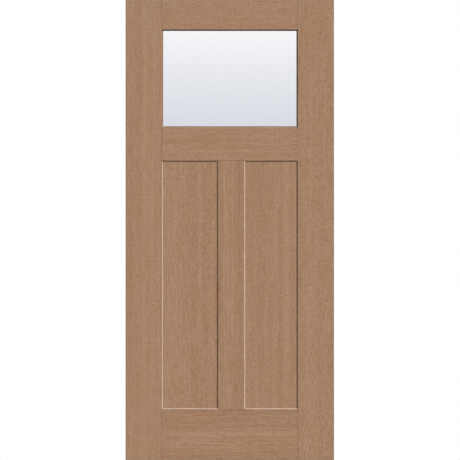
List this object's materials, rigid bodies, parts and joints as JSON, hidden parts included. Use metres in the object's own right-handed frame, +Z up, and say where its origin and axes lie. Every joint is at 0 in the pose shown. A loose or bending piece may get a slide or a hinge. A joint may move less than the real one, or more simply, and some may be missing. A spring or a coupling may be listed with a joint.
{
  "type": "glazed fiberglass entrance door leaf",
  "caption": "Flush-glazed entrance door leaf: moulded wood-grain fiberglass skins over a timber perimeter and foam core, with a sealed glass unit above tall recessed panels.",
  "frame": {"origin": "foot of the hinge edge, in the middle of the leaf's thickness", "axes": "+X from the hinge edge to the lock edge, +Y from the outside face to the inside face, +Z up along the hinge edge"},
  "size_m": [0.9081, 0.0444, 2.0066],
  "materials": {
    "moulded_fiberglass": "wood-grain moulding, light brown stain under a satin clear coat",
    "stile_timber": "planed laminated timber",
    "rail_timber": "planed softwood",
    "rail_composite": "matt wood-fibre composite",
    "core_foam": "fine closed-cell foam",
    "clear_glass": "clear float glass",
    "spacer_metal": "mill finish, perforated",
    "seal_rubber": "matt black sealant",
    "glazing_tape": "matt brown tape"
  },
  "bodies": {
    "root": {"exterior_skin": "moulded_fiberglass", "interior_skin": "moulded_fiberglass", "hinge_stile": "stile_timber", "lock_stile": "stile_timber", "top_rail": "rail_timber", "bottom_rail": "rail_composite", "lock_block": "rail_timber", "lite_head": "rail_timber", "lite_sill": "rail_timber", "lite_jamb_hinge_side": "rail_timber", "lite_jamb_lock_side": "rail_timber", "foam_core": "core_foam", "exterior_pane": "clear_glass", "interior_pane": "clear_glass", "spacer_bar": "spacer_metal", "edge_seal": "seal_rubber", "exterior_glazing_seal": "glazing_tape", "interior_glazing_seal": "glazing_tape", "setting_block_hinge_side": "seal_rubber", "setting_block_lock_side": "seal_rubber"}
  },
  "joints": []
}
